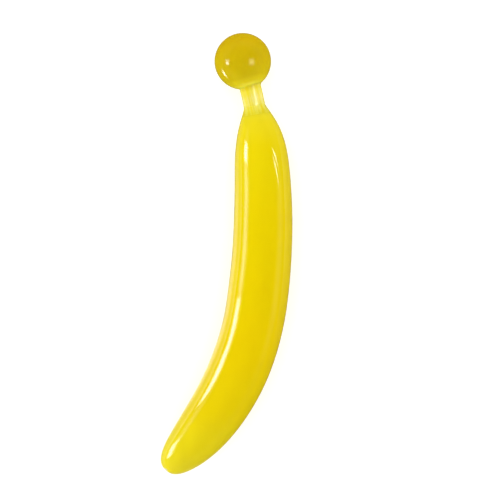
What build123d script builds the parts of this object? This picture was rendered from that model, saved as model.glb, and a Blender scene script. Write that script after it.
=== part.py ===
from build123d import *

import math
import os

# A banana-shaped wand of solid glass, lying flat on its side. Four gathers of
# glass are fused face to face: an opaque core, the clear casing drawn over it,
# a short neck and a ball.
#
# Frame: the origin is the middle of the bounding box's bottom face. +Z is up,
# +Y points from the tip towards the ball, and the bend is hollow towards -X.
# The centreline lies in one level plane. It starts at the ball's centre, and
# distances along it are measured from there.

# Driving dimensions, in mm and degrees
ball_diameter = 25.8
neck_diameter = 9.8
body_diameter = 27.6
shoulder_diameter = 23.2
casing_wall = 2.0
weld_fillet = 1.0

# Places along the centreline
neck_end = 21.0
core_start = 21.8
widest_at = 122.0
nose_start = 186.0
tip_at = 199.2

# The centreline: three arcs that bend the same way, then a straight nose
lean_at_ball = 18.0
neck_arc_radius = 182.0
neck_arc_length = 43.0
upper_arc_radius = 318.0
upper_arc_length = 68.0
lower_arc_radius = 118.0

# How the body swells out of the neck and rounds off at the tip
shoulder_length = 10.5
shoulder_power = 1.26
tip_power = 3.05
tip_roundness = 2.5
core_shoulder = 3.7

# Where the lofts take a section, closer together where the shape turns faster
shoulder_stations = [21.0, 22.0, 23.5, 25.5, 28.0, 31.0, 35.0, 40.0, 46.0, 54.0]
body_stations = [66.0, 80.0, 94.0, 108.0, 122.0, 136.0, 149.0, 160.0, 169.0, 176.0, 181.5, 186.0]

ball_radius = ball_diameter / 2
neck_radius = neck_diameter / 2
body_radius = body_diameter / 2
shoulder_radius = shoulder_diameter / 2


def follow_arc(x, y, lean, radius, length):
    """The end of an arc that starts at x, y and leans by lean from -Y to +X."""
    turned = lean - length / radius
    return (
        x + radius * (math.cos(turned) - math.cos(lean)),
        y - radius * (math.sin(lean) - math.sin(turned)),
        turned,
    )


def along_centreline(distance):
    """Place and lean of the centreline, measured from the ball's centre."""
    x, y, lean = 0.0, 0.0, math.radians(lean_at_ball)
    lower_arc_length = nose_start - neck_arc_length - upper_arc_length
    arcs = [
        (neck_arc_radius, neck_arc_length),
        (upper_arc_radius, upper_arc_length),
        (lower_arc_radius, lower_arc_length),
    ]
    left = distance
    for radius, length in arcs:
        x, y, lean = follow_arc(x, y, lean, radius, min(left, length))
        left = max(left - length, 0.0)
    return x + left * math.sin(lean), y - left * math.cos(lean), lean


def glass_radius(distance, inset=0.0):
    """Radius of the body, or of the surface that lies inset under it."""
    reach = min(max(widest_at - distance, 0.0) / (widest_at - neck_end), 1.0)
    swollen = body_radius - (body_radius - shoulder_radius) * reach**2
    into_shoulder = max(distance - neck_end, 0.0) / shoulder_length
    opening = 1.0 - math.exp(-(into_shoulder**shoulder_power))
    radius = neck_radius + (swollen - neck_radius) * opening - inset
    to_tip = max(distance - widest_at, 0.0) / (tip_at - inset - widest_at)
    return radius * (1.0 - min(to_tip, 1.0) ** tip_power) ** (1.0 / tip_roundness)


def core_radius(distance):
    """Radius of the core, which is rounded off under the shoulder too."""
    to_top = max(core_start + core_shoulder - distance, 0.0) / core_shoulder
    return glass_radius(distance, casing_wall) * math.sqrt(1.0 - min(to_top, 1.0) ** 2)


def outline_points(step=0.25):
    """Both edges of the body, seen from above, with the ball's centre at 0, 0."""
    for i in range(int(tip_at / step) + 1):
        distance = i * step
        x, y, lean = along_centreline(distance)
        radius = glass_radius(distance)
        yield x + radius * math.cos(lean), y + radius * math.sin(lean)
        yield x - radius * math.cos(lean), y - radius * math.sin(lean)


outline = list(outline_points())
left_edge = min(x for x, y in outline)
right_edge = max(max(x for x, y in outline), ball_radius)
lower_edge = min(y for x, y in outline)
ball_centre = Vector(
    -(left_edge + right_edge) / 2,
    -(lower_edge + ball_radius) / 2,
    body_radius,
)


def centre_at(distance):
    x, y, lean = along_centreline(distance)
    return ball_centre + Vector(x, y, 0)


def heading_at(distance):
    lean = along_centreline(distance)[2]
    return Vector(math.sin(lean), -math.cos(lean), 0)


def sections(stations, radius_at):
    """A circle square to the centreline at each station, for a loft."""
    circles = []
    for distance in stations:
        across = Plane(centre_at(distance), x_dir=(0, 0, 1), z_dir=heading_at(distance))
        with BuildSketch(across) as section:
            Circle(radius_at(distance))
        circles.append(section.sketch)
    return circles


def dome_axis(start, apex):
    """The straight line that a dome is turned about, from start towards apex."""
    return Axis(centre_at(start), heading_at(start) * math.copysign(1.0, apex - start))


def dome_profile(start, apex, radius_at):
    """Half the outline of a dome that goes on from the circle at start to apex."""
    length = apex - start
    steps = 8
    rim = []
    for i in range(steps):
        reach = length * math.sin(math.pi / 2 * i / steps)
        rim.append((abs(reach), radius_at(start + reach)))
    slope = (rim[1][1] - rim[0][1]) / rim[1][0]
    outward = dome_axis(start, apex).direction
    side = Plane(centre_at(start), x_dir=outward, z_dir=outward.cross(Vector(0, 0, 1)))
    with BuildSketch(side) as half_outline:
        with BuildLine():
            Spline(*rim, (abs(length), 0), tangents=[(1, slope), (0, -1)])
            Line((abs(length), 0), (0, 0))
            Line((0, 0), rim[0])
        make_face()
    return half_outline.sketch


os.makedirs("parts", exist_ok=True)

# The ball that the hand holds
with BuildPart() as ball_handle:
    with Locations(ball_centre):
        Sphere(ball_radius)
ball_handle.part.label = "ball_handle"
export_step(ball_handle.part, "parts/ball_handle.step")

# The drawn stem, seated on the ball with a small fillet of glass round its foot
with BuildPart() as neck:
    loft(sections([10.0, 14.0, 18.0, neck_end], glass_radius))
    with Locations(ball_centre):
        Sphere(ball_radius)
    rings = neck.edges().filter_by(lambda edge: edge.is_closed)
    foot = rings.sort_by_distance(centre_at(ball_radius))[0]
    fillet(foot, weld_fillet)
    add(ball_handle.part, mode=Mode.SUBTRACT)
neck.part.label = "neck"
export_step(neck.part, "parts/neck.step")

# The opaque rod, one wall's thickness under the casing all round
core_top = core_start + core_shoulder
core_tip = tip_at - casing_wall
core_stations = [d for d in shoulder_stations + body_stations if d > core_top]
with BuildPart() as body_core:
    loft(sections([core_top] + core_stations, core_radius))
    revolve(dome_profile(core_top, core_start, core_radius), axis=dome_axis(core_top, core_start))
    revolve(dome_profile(nose_start, core_tip, core_radius), axis=dome_axis(nose_start, core_tip))
body_core.part.label = "body_core"
export_step(body_core.part, "parts/body_core.step")

# The clear jacket, closed all round the core
with BuildPart() as body_casing:
    loft(sections(shoulder_stations + body_stations, glass_radius))
    revolve(dome_profile(nose_start, tip_at, glass_radius), axis=dome_axis(nose_start, tip_at))
    add(body_core.part, mode=Mode.SUBTRACT)
body_casing.part.label = "body_casing"
export_step(body_casing.part, "parts/body_casing.step")
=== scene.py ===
import math

import bpy
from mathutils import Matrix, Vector


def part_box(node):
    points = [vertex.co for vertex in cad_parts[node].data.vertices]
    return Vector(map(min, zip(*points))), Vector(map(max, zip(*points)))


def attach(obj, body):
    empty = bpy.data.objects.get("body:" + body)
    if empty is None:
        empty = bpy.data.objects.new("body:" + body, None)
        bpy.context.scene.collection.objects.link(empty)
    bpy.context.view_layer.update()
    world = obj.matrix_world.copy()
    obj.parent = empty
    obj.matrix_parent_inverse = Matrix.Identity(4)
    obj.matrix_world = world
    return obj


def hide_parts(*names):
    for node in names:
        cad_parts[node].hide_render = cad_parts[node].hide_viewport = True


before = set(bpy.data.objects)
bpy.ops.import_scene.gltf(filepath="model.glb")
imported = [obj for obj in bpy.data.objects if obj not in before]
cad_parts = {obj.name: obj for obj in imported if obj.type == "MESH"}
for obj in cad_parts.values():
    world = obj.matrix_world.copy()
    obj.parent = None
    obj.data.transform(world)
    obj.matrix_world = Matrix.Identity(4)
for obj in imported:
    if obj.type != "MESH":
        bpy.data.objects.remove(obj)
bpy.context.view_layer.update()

# A banana-shaped wand of solid glass, lying on its side on a pale table and seen from straight
# above. Lengths are in metres in the CAD frame: +Z up, +Y towards the ball, and the hollow of the
# bend towards -X.

# ---------------------------------------------------------------- the wand's own dimensions

MM = 0.001
ball_low, ball_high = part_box("ball_handle")
casing_low, casing_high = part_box("body_casing")
BALL_CENTRE = (ball_low + ball_high) / 2
BALL_RADIUS = (ball_high.x - ball_low.x) / 2
BODY_RADIUS = (casing_high.z - casing_low.z) / 2
NECK_RADIUS = 4.9 * MM
SHOULDER_RADIUS = 11.6 * MM
CASING_WALL = 2.0 * MM
WELD_FILLET = 1.0 * MM

# Distances along the centreline, from the ball's centre
NECK_END = 21.0 * MM
CORE_START = 21.8 * MM
CORE_SHOULDER = 3.7 * MM
WIDEST_AT = 122.0 * MM
TIP_AT = 199.2 * MM

# The centreline: how it leans at the ball, then its arcs as (radius, length). It ends straight.
LEAN_AT_BALL = math.radians(18.0)
BEND_ARCS = [
    (182.0 * MM, 43.0 * MM),
    (318.0 * MM, 68.0 * MM),
    (118.0 * MM, 75.0 * MM),
]

# How the free neck leans on the whole, which is how the cords in it run
NECK_LEAN = math.radians(12.7)

# How the radius opens out at the shoulder and closes at the tip
SHOULDER_LENGTH = 10.5 * MM
SHOULDER_POWER = 1.26
TIP_POWER = 3.05
TIP_ROUNDNESS = 2.5

# How far fused pieces reach into each other, so that no air gap shows in the glass, and how far the
# neck's end sinks into the ball
FUSED = 0.05 * MM
NECK_SUNK = 1.2 * MM

# The waver of the hand-drawn skin, as (height in mm, length, phase, lobes round the body, turn)
WAVES = [
    (0.05, 9.1 * MM, 1.3, 1, -2.4),
    (0.04, 5.3 * MM, 0.4, 2, 0.9),
    (0.03, 14.0 * MM, 0.0, 3, -1.1),
]
WAVER_GROWS_OVER = 20 * MM
WAVER_ENDS_OVER = 25 * MM

# One swelling and one fine ripple on the inner side of the shoulder, as (height in mm, distance,
# reach along, angle round the body, reach round)
SWELLING = (0.14, 45 * MM, 9 * MM, 2.3, 0.8)
RIPPLE = (0.012, 54 * MM, 6 * MM, 2.2, 0.5)
RIPPLE_LENGTH = 0.46 * MM

# The ball's unevenness, as a share of its radius, and how it is turned
BALL_UNEVEN = 0.002
BALL_TURN = 0.7


def along_centreline(distance):
    """Place on the centreline, and the direction across it in the level plane."""
    x, y, lean = 0.0, 0.0, LEAN_AT_BALL
    left = distance
    for radius, length in BEND_ARCS:
        run = min(left, length)
        turned = lean - run / radius
        x += radius * (math.cos(turned) - math.cos(lean))
        y -= radius * (math.sin(lean) - math.sin(turned))
        lean = turned
        left = max(left - length, 0.0)
    x += left * math.sin(lean)
    y -= left * math.cos(lean)
    return BALL_CENTRE + Vector((x, y, 0.0)), Vector((math.cos(lean), math.sin(lean), 0.0))


def glass_radius(distance, inset=0.0):
    """Radius of the body, or of the surface that lies inset under it."""
    reach = min(max(WIDEST_AT - distance, 0.0) / (WIDEST_AT - NECK_END), 1.0)
    swollen = BODY_RADIUS - (BODY_RADIUS - SHOULDER_RADIUS) * reach**2
    into_shoulder = max(distance - NECK_END, 0.0) / SHOULDER_LENGTH
    opening = 1.0 - math.exp(-(into_shoulder**SHOULDER_POWER))
    radius = NECK_RADIUS + (swollen - NECK_RADIUS) * opening - inset
    to_tip = max(distance - WIDEST_AT, 0.0) / (TIP_AT - inset - WIDEST_AT)
    return radius * (1.0 - min(to_tip, 1.0) ** TIP_POWER) ** (1.0 / TIP_ROUNDNESS)


def core_radius(distance):
    """Radius of the opaque core, rounded off under the shoulder too."""
    to_top = max(CORE_START + CORE_SHOULDER - distance, 0.0) / CORE_SHOULDER
    return glass_radius(distance, CASING_WALL) * math.sqrt(1.0 - min(to_top, 1.0) ** 2)


def neck_radius(distance):
    """Radius of the neck, from a small fillet at the ball to a funnel that runs onto the core."""
    if distance > NECK_END:
        deep = (distance - NECK_END) / (CORE_START + CORE_SHOULDER - NECK_END)
        return glass_radius(distance, FUSED + (CASING_WALL - FUSED) * deep)
    foot = math.sqrt((BALL_RADIUS + WELD_FILLET) ** 2 - (NECK_RADIUS + WELD_FILLET) ** 2)
    above = min(max(foot - distance, 0.0), WELD_FILLET)
    return NECK_RADIUS + WELD_FILLET - math.sqrt(WELD_FILLET**2 - above**2)


# ---------------------------------------------------------------- mesh code

SIDES = 128
BODY_RINGS = 360
NECK_RINGS = 40
ROOT_RINGS = 20
BALL_ROWS, BALL_SIDES = 72, 144


def spread(start, end, count, ease_start=False, ease_end=False):
    """Distances from start to end, closer together towards the end that is eased."""
    places = []
    for i in range(count + 1):
        t = i / count
        if ease_end:
            t = math.sin(math.pi / 2 * t)
        elif ease_start:
            t = 1.0 - math.cos(math.pi / 2 * t)
        places.append(start + (end - start) * t)
    return places


def local_rise(distance, angle, height, middle, reach, side, reach_round):
    """Height of a smooth hill that covers only one place on the skin."""
    off_along = (distance - middle) / reach
    off_round = (angle - side) / reach_round
    return height * math.exp(-(off_along**2) - off_round**2)


def hand_waver(distance, angle):
    """How far a hand-drawn surface strays from the true form: nowhere at the neck and the tip."""
    grown = min(max((distance - NECK_END) / WAVER_GROWS_OVER, 0.0), 1.0)
    left = min(max((TIP_AT - distance) / WAVER_ENDS_OVER, 0.0), 1.0)
    strays = 0.0
    for height, length, phase, lobes, turn in WAVES:
        strays += height * math.sin(distance / length + phase) * math.cos(lobes * angle + turn)
    rippled = local_rise(distance, angle, *RIPPLE) * math.sin(distance / RIPPLE_LENGTH)
    strays += local_rise(distance, angle, *SWELLING) + rippled
    return strays * MM * (0.5 - 0.5 * math.cos(math.pi * grown)) * left


def add_ring(vertices, distance, radius_at, waver):
    """One ring of vertices round the centreline. Its angles start on the outer side of the bend."""
    centre, across = along_centreline(distance)
    first = len(vertices)
    for j in range(SIDES):
        angle = 2 * math.pi * j / SIDES
        radius = radius_at(distance)
        if waver:
            radius += hand_waver(distance, angle)
        out = math.cos(angle) * across + Vector((0, 0, math.sin(angle)))
        vertices.append(centre + radius * out)
    return list(range(first, first + SIDES))


def bridge(faces, ring, next_ring, inward):
    sides = len(ring)
    for j in range(sides):
        k = (j + 1) % sides
        quad = (ring[j], ring[k], next_ring[k], next_ring[j])
        faces.append(quad[::-1] if inward else quad)


def close_to_point(faces, ring, point, start, inward):
    sides = len(ring)
    for j in range(sides):
        k = (j + 1) % sides
        triangle = (ring[k], ring[j], point) if start else (ring[j], ring[k], point)
        faces.append(triangle[::-1] if inward else triangle)


def add_rod(vertices, faces, distances, radius_at, waver=False, inward=False):
    """A round rod along the centreline, closed at both ends with a point on the axis."""
    rings = [add_ring(vertices, d, radius_at, waver) for d in distances[1:-1]]
    for ring, next_ring in zip(rings, rings[1:]):
        bridge(faces, ring, next_ring, inward)
    for end, ring, start in ((distances[0], rings[0], True), (distances[-1], rings[-1], False)):
        vertices.append(along_centreline(end)[0])
        close_to_point(faces, ring, len(vertices) - 1, start, inward)


def make_piece(name, vertices, faces, material, node):
    mesh = bpy.data.meshes.new(name)
    mesh.from_pydata([tuple(v) for v in vertices], [], faces)
    mesh.validate()
    mesh.shade_smooth()
    mesh.materials.append(material)
    piece = bpy.data.objects.new(name, mesh)
    bpy.context.scene.collection.objects.link(piece)
    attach(piece, "root")
    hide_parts(node)
    return piece


def casing_mesh(material):
    """The clear jacket: its outer skin, and the inner wall that the core fills."""
    vertices, faces = [], []
    outer = [NECK_END, NECK_END] + spread(NECK_END, WIDEST_AT, BODY_RINGS // 2)[1:]
    outer += spread(WIDEST_AT, TIP_AT, BODY_RINGS // 2, ease_end=True)[1:]
    add_rod(vertices, faces, outer, glass_radius, waver=True)
    inner = spread(CORE_START, WIDEST_AT, BODY_RINGS // 3, ease_start=True)
    inner += spread(WIDEST_AT, TIP_AT - CASING_WALL, BODY_RINGS // 3, ease_end=True)[1:]
    add_rod(vertices, faces, inner, core_radius, inward=True)
    return make_piece("clear_casing", vertices, faces, material, "body_casing")


def core_mesh(material):
    """The opaque rod, which fills the casing and is fused to it."""
    vertices, faces = [], []
    places = spread(CORE_START - FUSED, WIDEST_AT, BODY_RINGS // 2, ease_start=True)
    places += spread(WIDEST_AT, TIP_AT - CASING_WALL + FUSED, BODY_RINGS // 2, ease_end=True)[1:]
    add_rod(vertices, faces, places, lambda d: core_radius(d) + FUSED)
    return make_piece("opaque_core", vertices, faces, material, "body_core")


def neck_mesh(material, root_material):
    """The drawn stem, from just inside the ball to where the core has its full width."""
    vertices, faces = [], []
    start = BALL_RADIUS - NECK_SUNK
    end = CORE_START + CORE_SHOULDER
    places = [start, start] + spread(start, NECK_END, NECK_RINGS)[1:]
    places += spread(NECK_END, end, ROOT_RINGS)[1:] + [end]
    add_rod(vertices, faces, places, neck_radius)
    piece = make_piece("drawn_neck", vertices, faces, material, "neck")
    piece.data.materials.append(root_material)
    shoulder, across = along_centreline(NECK_END)
    onward = Vector((across.y, -across.x, 0.0))
    for polygon in piece.data.polygons:
        polygon.material_index = int((polygon.center - shoulder).dot(onward) > 0)
    return piece


def ball_mesh(material):
    """The ball, gathered and turned by hand, so very slightly out of round."""
    vertices, faces = [], []
    for i in range(BALL_ROWS + 1):
        polar = math.pi * i / BALL_ROWS
        sides = 1 if i in (0, BALL_ROWS) else BALL_SIDES
        for j in range(sides):
            angle = 2 * math.pi * j / BALL_SIDES
            uneven = 1 + math.sin(2 * angle + BALL_TURN) * math.sin(polar)
            radius = BALL_RADIUS * (1.0 - BALL_UNEVEN * uneven)
            level, upward = math.sin(polar) * math.cos(angle), math.sin(polar) * math.sin(angle)
            vertices.append(BALL_CENTRE + radius * Vector((level, math.cos(polar), upward)))
    rings = [
        list(range(1 + i * BALL_SIDES, 1 + (i + 1) * BALL_SIDES)) for i in range(BALL_ROWS - 1)
    ]
    for ring, next_ring in zip(rings, rings[1:]):
        bridge(faces, ring, next_ring, inward=False)
    close_to_point(faces, rings[0], 0, start=True, inward=False)
    close_to_point(faces, rings[-1], len(vertices) - 1, start=False, inward=False)
    return make_piece("glass_ball", vertices, faces, material, "ball_handle")


# ---------------------------------------------------------------- materials

CLEAR_IOR = 1.47
AMBER_IOR = 1.6

# How far the neck's tint runs down into the clear glass
TINT_LENGTH = 7.0 * MM

# The values between which nearly all of a noise lies
NOISE_RANGE = (0.3, 0.7)


class Nodes:
    """The node tree of a material, world or light, with short ways to add and join nodes."""

    def __init__(self, owner):
        owner.use_nodes = True
        self.owner = owner
        self.tree = owner.node_tree

    def add(self, kind, **values):
        node = self.tree.nodes.new(kind)
        for key, value in values.items():
            setattr(node, key, value)
        return node

    def join(self, source, target):
        self.tree.links.new(source, target)


def new_material(name):
    nodes = Nodes(bpy.data.materials.new(name))
    nodes.tree.nodes.clear()
    nodes.output = nodes.add("ShaderNodeOutputMaterial")
    return nodes


def set_inputs(node, values):
    for name, value in values.items():
        node.inputs[name].default_value = value


def ranged(nodes, value, given, wanted, blend="LINEAR"):
    """The value, moved from the range given (low, high) to the one wanted."""
    node = nodes.add("ShaderNodeMapRange", interpolation_type=blend)
    set_inputs(node, {
        "From Min": given[0],
        "From Max": given[1],
        "To Min": wanted[0],
        "To Max": wanted[1],
    })
    nodes.join(value, node.inputs["Value"])
    return node.outputs["Result"]


def tones(nodes, factor, stops, blend="EASE"):
    """A colour that drifts through stops of (position, colour) as factor rises."""
    ramp = nodes.add("ShaderNodeValToRGB")
    ramp.color_ramp.interpolation = blend
    elements = ramp.color_ramp.elements
    while len(elements) < len(stops):
        elements.new(0.5)
    for element, (position, colour) in zip(elements, stops):
        element.position = position
        element.color = (*colour, 1.0)
    nodes.join(factor, ramp.inputs["Fac"])
    return ramp.outputs["Color"]


def stretched_noise(nodes, stretch, scale, detail=2.0, lean=0.0):
    """Noise in the object's own space, stretched along Y, or along a line that leans from it."""
    place = nodes.add("ShaderNodeTexCoord")
    mapping = nodes.add("ShaderNodeMapping", vector_type="TEXTURE")
    set_inputs(mapping, {"Rotation": (0.0, 0.0, lean), "Scale": (1.0, stretch, 1.0)})
    noise = nodes.add("ShaderNodeTexNoise")
    set_inputs(noise, {"Scale": scale, "Detail": detail})
    nodes.join(place.outputs["Object"], mapping.inputs["Vector"])
    nodes.join(mapping.outputs["Vector"], noise.inputs["Vector"])
    return noise.outputs["Fac"]


def along(nodes, start, end):
    """0 to 1 as a point of the object goes from start to end, in the CAD frame."""
    place = nodes.add("ShaderNodeTexCoord")
    offset = nodes.add("ShaderNodeVectorMath", operation="SUBTRACT")
    offset.inputs[1].default_value = start
    run = end - start
    dot = nodes.add("ShaderNodeVectorMath", operation="DOT_PRODUCT")
    dot.inputs[1].default_value = run / run.length_squared
    nodes.join(place.outputs["Object"], offset.inputs[0])
    nodes.join(offset.outputs["Vector"], dot.inputs[0])
    return dot.outputs["Value"]


def shaded_by(nodes, colour, noise, low):
    """The colour, darkened towards low times itself where the noise is small."""
    scaled = nodes.add("ShaderNodeVectorMath", operation="SCALE")
    nodes.join(colour, scaled.inputs[0])
    nodes.join(ranged(nodes, noise, NOISE_RANGE, (low, 1.0)), scaled.inputs["Scale"])
    return scaled.outputs["Vector"]


def bumped(nodes, height, strength, distance):
    bump = nodes.add("ShaderNodeBump")
    set_inputs(bump, {"Strength": strength, "Distance": distance})
    nodes.join(height, bump.inputs["Height"])
    return bump.outputs["Normal"]


def corded(nodes, colour):
    """The cords drawn along the neck, and the colour as they streak it, from deep to pale."""
    cords = stretched_noise(nodes, stretch=16.0, scale=760.0, lean=NECK_LEAN)
    pale_cords = tones(nodes, cords, [(0.36, (0.95, 0.90, 0.42)), (0.62, (0.98, 1.01, 1.7))])
    streaked = nodes.add("ShaderNodeVectorMath", operation="MULTIPLY")
    nodes.join(colour, streaked.inputs[0])
    nodes.join(pale_cords, streaked.inputs[1])
    return cords, streaked.outputs["Vector"]


def opal_glass(name, start, end, stops, with_cords=False):
    """Opaque glass that lies inside the clear glass, so its own surface has no gloss."""
    nodes = new_material(name)
    shader = nodes.add("ShaderNodeBsdfPrincipled")
    length = tones(nodes, along(nodes, start, end), stops)
    if with_cords:
        colour = corded(nodes, length)[1]
    else:
        streaks = stretched_noise(nodes, stretch=14.0, scale=260.0)
        colour = shaded_by(nodes, length, streaks, 0.97)
    nodes.join(colour, shader.inputs["Base Color"])
    set_inputs(shader, {
        "Roughness": 0.6,
        "Specular IOR Level": 0.0,
        "Subsurface Weight": 0.35,
        "Subsurface Radius": (1.0, 0.8, 0.1),
        "Subsurface Scale": 3.0 * MM,
    })
    nodes.join(shader.outputs["BSDF"], nodes.output.inputs["Surface"])
    return nodes.owner


def opal_core():
    """Opaque yellow: lemon where the rod is thin at its ends, golden in the middle."""
    top = Vector((0.0, along_centreline(CORE_START)[0].y, 0.0))
    bottom = Vector((0.0, along_centreline(TIP_AT)[0].y, 0.0))
    return opal_glass("opal_core", top, bottom, [
        (0.0, (0.86, 0.74, 0.035)),
        (0.05, (0.825, 0.690, 0.014)),
        (0.12, (0.81, 0.665, 0.004)),
        (0.35, (0.80, 0.640, 0.002)),
        (0.66, (0.80, 0.620, 0.002)),
        (0.82, (0.79, 0.628, 0.004)),
        (0.93, (0.79, 0.665, 0.012)),
        (1.0, (0.80, 0.68, 0.022)),
    ])


def neck_root():
    """The neck's glass under the clear shoulder, where it takes on the core's colour. Its pale
    start is brighter than the free neck: painted light that offsets the shade under the clear
    shoulder.
    """
    top = along_centreline(NECK_END)[0]
    bottom = along_centreline(CORE_START + CORE_SHOULDER)[0]
    # The first stop is lifted above the neck's own colour as painted light against the shade under
    # the casing
    return opal_glass("neck_root", top, bottom, [
        (0.0, (1.0, 0.91, 0.135)),
        (1.0, (0.92, 0.80, 0.04)),
    ], with_cords=True)


def clear_glass():
    """Fire-polished clear glass that casts no shadow, tinted where it runs into the neck."""
    nodes = new_material("clear_glass")
    glass = nodes.add("ShaderNodeBsdfPrincipled")
    top = along_centreline(NECK_END)[0]
    clear_from = along_centreline(NECK_END + TINT_LENGTH)[0]
    tint = tones(nodes, along(nodes, top, clear_from), [
        (0.0, (1.0, 0.99, 0.80)),
        (1.0, (1.0, 1.0, 0.95)),
    ])
    nodes.join(tint, glass.inputs["Base Color"])
    set_inputs(glass, {"Transmission Weight": 1.0, "Roughness": 0.015, "IOR": CLEAR_IOR})
    waver = stretched_noise(nodes, stretch=6.0, scale=70.0, detail=1.0)
    nodes.join(bumped(nodes, waver, 0.15, 0.4 * MM), glass.inputs["Normal"])
    through = nodes.add("ShaderNodeBsdfTransparent")
    mix = nodes.add("ShaderNodeMixShader")
    path = nodes.add("ShaderNodeLightPath")
    nodes.join(path.outputs["Is Shadow Ray"], mix.inputs[0])
    nodes.join(glass.outputs["BSDF"], mix.inputs[1])
    nodes.join(through.outputs["BSDF"], mix.inputs[2])
    nodes.join(mix.outputs["Shader"], nodes.output.inputs["Surface"])
    return nodes.owner


def neck_glass():
    """Pale, half-clear yellow glass with cords drawn along it, deeper where it is fused."""
    nodes = new_material("neck_glass")
    shader = nodes.add("ShaderNodeBsdfPrincipled")
    top = along_centreline(BALL_RADIUS - NECK_SUNK)[0]
    bottom = along_centreline(NECK_END)[0]
    length = tones(nodes, along(nodes, top, bottom), [
        (0.12, (0.90, 0.76, 0.04)),
        (0.30, (0.95, 0.83, 0.09)),
        (0.65, (0.96, 0.85, 0.17)),
        (1.0, (0.95, 0.84, 0.12)),
    ])
    cords, streaked = corded(nodes, length)
    nodes.join(streaked, shader.inputs["Base Color"])
    set_inputs(shader, {
        "Transmission Weight": 0.12,
        "Roughness": 0.03,
        "IOR": CLEAR_IOR,
        "Subsurface Weight": 0.5,
        "Subsurface Radius": (1.0, 0.9, 0.3),
        "Subsurface Scale": 1.2 * MM,
    })
    nodes.join(bumped(nodes, cords, 0.35, 0.3 * MM), shader.inputs["Normal"])
    nodes.join(shader.outputs["BSDF"], nodes.output.inputs["Surface"])
    return nodes.owner


def amber_glass():
    """Deep amber-yellow glass, slightly cloudy, with a painted glow where the neck joins it: pale
    bright yellow that stands in for light led into the ball through the neck.
    """
    nodes = new_material("amber_glass")
    shader = nodes.add("ShaderNodeBsdfPrincipled")
    bottom = along_centreline(BALL_RADIUS)[0]
    # Deep amber over most of the ball; the last stops by the neck are a painted glow, which also
    # covers the shade at the join
    amber_and_painted_glow = tones(nodes, along(nodes, 2 * BALL_CENTRE - bottom, bottom), [
        (0.0, (0.70, 0.480, 0.003)),
        (0.45, (0.69, 0.510, 0.004)),
        (0.78, (0.70, 0.550, 0.006)),
        (0.87, (0.80, 0.66, 0.012)),
        (0.94, (0.96, 0.86, 0.05)),
        (1.0, (1.0, 0.93, 0.10)),
    ])
    cloud = stretched_noise(nodes, stretch=1.4, scale=90.0)
    nodes.join(shaded_by(nodes, amber_and_painted_glow, cloud, 0.92), shader.inputs["Base Color"])
    set_inputs(shader, {
        "Roughness": 0.02,
        "IOR": AMBER_IOR,
        "Transmission Weight": 0.15,
        "Subsurface Weight": 0.5,
        "Subsurface Radius": (1.0, 0.7, 0.1),
        "Subsurface Scale": 5.0 * MM,
    })
    nodes.join(shader.outputs["BSDF"], nodes.output.inputs["Surface"])
    return nodes.owner


# ---------------------------------------------------------------- studio

# Framing: how wide a strip the camera sees at the wand's level, and the strip's middle
VIEW_WIDTH = 227.2 * MM
VIEW_MIDDLE = (10.65 * MM, 1.65 * MM)
CAMERA_HEIGHT = 1.5
SENSOR_WIDTH = 36.0

# The table and the even light all round
TABLE_HALF_WIDTH = 6.0
FLOOR_GLOW = 0.38
WORLD_LIGHT = 1.10
COOL_SIDE = (0.955, 1.0, 1.0)
WARM_SIDE = (1.0, 0.96, 0.95)

# What polished glass mirrors of the surroundings, by how high it looks: 0 is straight down,
# 0.5 level and 1 straight up
MIRRORED = [
    (0.49, (0.26, 0.20, 0.03)),
    (0.54, (0.075, 0.075, 0.075)),
    (0.66, (0.06, 0.06, 0.06)),
    (0.80, (0.003, 0.003, 0.003)),
]

# Where the panels stand: far off or close by on the left, and cards just over the table
FAR_LEFT = -0.50
CLOSE_LEFT = -0.12
CARD_HEIGHT = 0.001

# The twin lines on the right: a slanted pair of narrow panels, this far to each side of a middle
LINE_SLANT = math.radians(56)
LINE_ACROSS = (-0.83, 0.56)
LINE_OFFSET = 0.03


def make_camera():
    """Straight above the table, framed so that the wand stands a little left of the middle."""
    data = bpy.data.cameras.new("camera")
    data.sensor_width = SENSOR_WIDTH
    data.lens = SENSOR_WIDTH * CAMERA_HEIGHT / VIEW_WIDTH
    camera = bpy.data.objects.new("camera", data)
    camera.location = (*VIEW_MIDDLE, BALL_CENTRE.z + CAMERA_HEIGHT)
    bpy.context.scene.collection.objects.link(camera)
    bpy.context.scene.camera = camera


def make_floor():
    nodes = new_material("pale_table")
    shader = nodes.add("ShaderNodeBsdfPrincipled")
    grain = stretched_noise(nodes, stretch=1.0, scale=300.0)
    colour = tones(nodes, grain, [(0.3, (0.80, 0.80, 0.80)), (0.7, (0.82, 0.82, 0.82))])
    nodes.join(colour, shader.inputs["Base Color"])
    set_inputs(shader, {
        "Roughness": 0.9,
        "Emission Color": (1.0, 1.0, 1.0, 1.0),
        "Emission Strength": FLOOR_GLOW,
        "Specular IOR Level": 0.0,
    })
    nodes.join(shader.outputs["BSDF"], nodes.output.inputs["Surface"])
    mesh = bpy.data.meshes.new("table_top")
    signs = ((-1, -1), (1, -1), (1, 1), (-1, 1))
    corners = [(TABLE_HALF_WIDTH * x, TABLE_HALF_WIDTH * y, 0) for x, y in signs]
    mesh.from_pydata(corners, [], [(0, 1, 2, 3)])
    mesh.materials.append(nodes.owner)
    floor = bpy.data.objects.new("table_top", mesh)
    bpy.context.scene.collection.objects.link(floor)
    floor.visible_glossy = False


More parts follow.
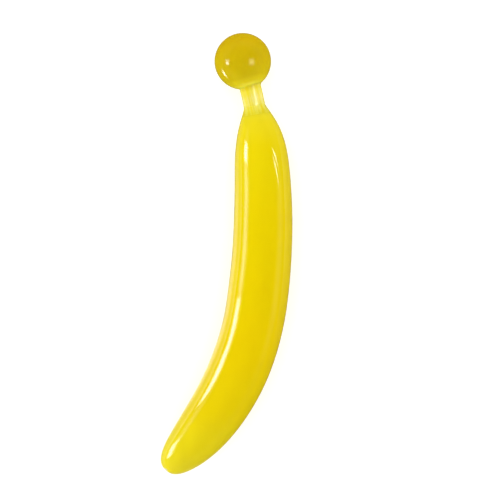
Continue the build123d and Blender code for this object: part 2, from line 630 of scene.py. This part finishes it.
def make_world():
    """Even light from all round, which polished glass mirrors only dimly."""
    world = bpy.data.worlds.new("studio")
    bpy.context.scene.world = world
    nodes = Nodes(world)
    background = nodes.tree.nodes["Background"]
    place = nodes.add("ShaderNodeTexCoord")
    axes = nodes.add("ShaderNodeSeparateXYZ")
    nodes.join(place.outputs["Generated"], axes.inputs["Vector"])
    rightward = ranged(nodes, axes.outputs["X"], (-1.0, 1.0), (0.0, 1.0))
    tint = tones(nodes, rightward, [(0.0, COOL_SIDE), (1.0, WARM_SIDE)], blend="LINEAR")
    upward = ranged(nodes, axes.outputs["Z"], (-1.0, 1.0), (0.0, 1.0))
    mirrored = tones(nodes, upward, MIRRORED, blend="LINEAR")
    # 1 for rays mirrored off a polished surface, and 0 for all others, such as those let through
    path = nodes.add("ShaderNodeLightPath")
    polished = nodes.add("ShaderNodeMath", operation="GREATER_THAN")
    nodes.join(path.outputs["Is Glossy Ray"], polished.inputs[0])
    nodes.join(path.outputs["Is Transmission Ray"], polished.inputs[1])
    seen = nodes.add("ShaderNodeMix", data_type="RGBA")
    nodes.join(polished.outputs["Value"], seen.inputs["Factor"])
    nodes.join(tint, seen.inputs["A"])
    nodes.join(mirrored, seen.inputs["B"])
    nodes.join(seen.outputs["Result"], background.inputs["Color"])
    strength = ranged(nodes, polished.outputs["Value"], (0.0, 1.0), (WORLD_LIGHT, 1.0))
    nodes.join(strength, background.inputs["Strength"])


def soft_edged(light_data, fade_x, fade_y):
    """Let a light fade towards its edges, over these fractions of its width and height."""
    nodes = Nodes(light_data)
    emission = nodes.tree.nodes["Emission"]
    place = nodes.add("ShaderNodeNewGeometry")
    axes = nodes.add("ShaderNodeSeparateXYZ")
    nodes.join(place.outputs["Parametric"], axes.inputs["Vector"])
    product = nodes.add("ShaderNodeMath", operation="MULTIPLY")
    for number, (axis, fade) in enumerate((("X", fade_x), ("Y", fade_y))):
        # 0 at either edge of the panel, and 0.5 in its middle
        inward = nodes.add("ShaderNodeMath", operation="PINGPONG")
        inward.inputs[1].default_value = 0.5
        nodes.join(axes.outputs[axis], inward.inputs[0])
        eased = ranged(nodes, inward.outputs["Value"], (0.0, fade), (0.0, 1.0), blend="SMOOTHSTEP")
        nodes.join(eased, product.inputs[number])
    nodes.join(product.outputs["Value"], emission.inputs["Strength"])


def add_light(name, place, target, size, power):
    data = bpy.data.lights.new(name, "AREA")
    data.shape = "RECTANGLE"
    data.size, data.size_y = size
    data.energy = power
    light = bpy.data.objects.new(name, data)
    light.location = place
    light.rotation_euler = (Vector(target) - Vector(place)).to_track_quat("-Z", "Y").to_euler()
    bpy.context.scene.collection.objects.link(light)
    light.visible_camera = False
    return light


def add_panel(name, place, size, brightness, only_on,
              target=None, roll=0.0, fade=(0.5, 0.5), tint=(1.0, 1.0, 1.0)):
    """A softbox seen only as a reflection in the glass. size is (width, height) in metres."""
    target = target or (0.0, place[1] / 2, BALL_CENTRE.z)
    light = add_light(name, place, target, size, brightness * math.pi * size[0] * size[1])
    light.rotation_euler.rotate_axis("Z", roll)
    light.visible_diffuse = False
    light.visible_transmission = False
    light.data.color = tint
    receivers = bpy.data.collections.new(name + "_receivers")
    for piece in only_on:
        receivers.objects.link(piece)
    light.light_linking.receiver_collection = receivers
    soft_edged(light.data, *fade)


def add_card(name, x, y, size, brightness, only_on):
    """A panel that lies just over the table and shines straight up."""
    add_panel(name, (x, y, CARD_HEIGHT), size, brightness, only_on, target=(x, y, 1.0))


def light_studio(casing, neck, ball):
    """Two lights that light the glass, and panels that it only mirrors."""
    for name, place, power in (
        ("left_fill", (-1.0, 0.1, 0.25), 2.4),
        ("right_fill", (0.9, 0.6, 0.30), 1.3),
    ):
        fill = add_light(name, place, (0.0, 0.0, 0.0), (0.8, 0.8), power)
        fill.visible_glossy = False

    # The bright line down the body's left: its long lower part, the drop at the shoulder, the faint
    # line between these two, and the short end at the tip. These panels are close by. Farther off,
    # the long lower part and the stretch before the tip would mirror the same place.
    body = [casing]
    add_panel("left_box", (CLOSE_LEFT, -0.00975, 0.0565), (0.0155, 0.071), 16.0, body,
              fade=(0.38, 0.5))
    add_panel("shoulder_box", (CLOSE_LEFT, 0.072, 0.0645), (0.046, 0.070), 17.0, body,
              fade=(0.25, 0.5))
    add_panel("left_line", (CLOSE_LEFT, 0.024, 0.060), (0.064, 0.068), 3.0, body,
              fade=(0.25, 0.5))
    add_panel("tip_box", (CLOSE_LEFT, -0.080, 0.049), (0.070, 0.061), 13.0, body,
              fade=(0.25, 0.5))
    add_panel("neck_side", (FAR_LEFT, 0.102, 0.168), (0.120, 0.30), 16.0, [neck],
              fade=(0.30, 0.5))

    # Broad, dim panels that lift the edges of the body and neck
    stem = [casing, neck]
    add_panel("left_strip", (-0.55, 0.05, 0.22), (0.80, 0.34), 1.5, stem)
    add_card("left_card", -0.16, -0.03, (0.38, 0.32), 1.5, stem)
    add_card("near_card", -0.020, -0.02, (0.05, 0.24), 1.2, stem)
    add_card("right_card", 0.16, 0.04, (0.34, 0.28), 0.5, stem)
    add_panel("right_wall", (0.60, 0.0, 0.22), (0.80, 0.46), 0.4, stem)

    # The twin lines on the right of the shoulder, and the neck's own line
    for offset in (-LINE_OFFSET, LINE_OFFSET):
        place = (0.5, 0.175 + LINE_ACROSS[0] * offset, 0.295 + LINE_ACROSS[1] * offset)
        add_panel("right_line", place, (0.27, 0.032), 21.0, body, roll=LINE_SLANT)
    add_panel("neck_box", (0.29, 0.12, 0.50), (0.26, 0.36), 12.0, [neck])

    # The ball's bright spots on its left, and the dim one on its right
    add_panel("ball_box", (FAR_LEFT, 0.016, 0.25), (0.20, 0.20), 12.0, [ball])
    add_panel("ball_bar", (FAR_LEFT, 0.115, 0.25), (0.05, 0.28), 7.0, [ball])
    add_card("ball_card", -0.07, 0.040, (0.07, 0.04), 20.0, [ball])
    add_panel("ball_window", (0.38, 0.030, 0.50), (0.44, 0.40), 4.6, [ball], tint=(1.0, 0.92, 0.55))


def main():
    make_camera()
    casing = casing_mesh(clear_glass())
    core_mesh(opal_core())
    neck = neck_mesh(neck_glass(), neck_root())
    ball = ball_mesh(amber_glass())
    make_floor()
    make_world()
    light_studio(casing, neck, ball)
    bpy.context.scene.view_settings.view_transform = "Standard"


main()
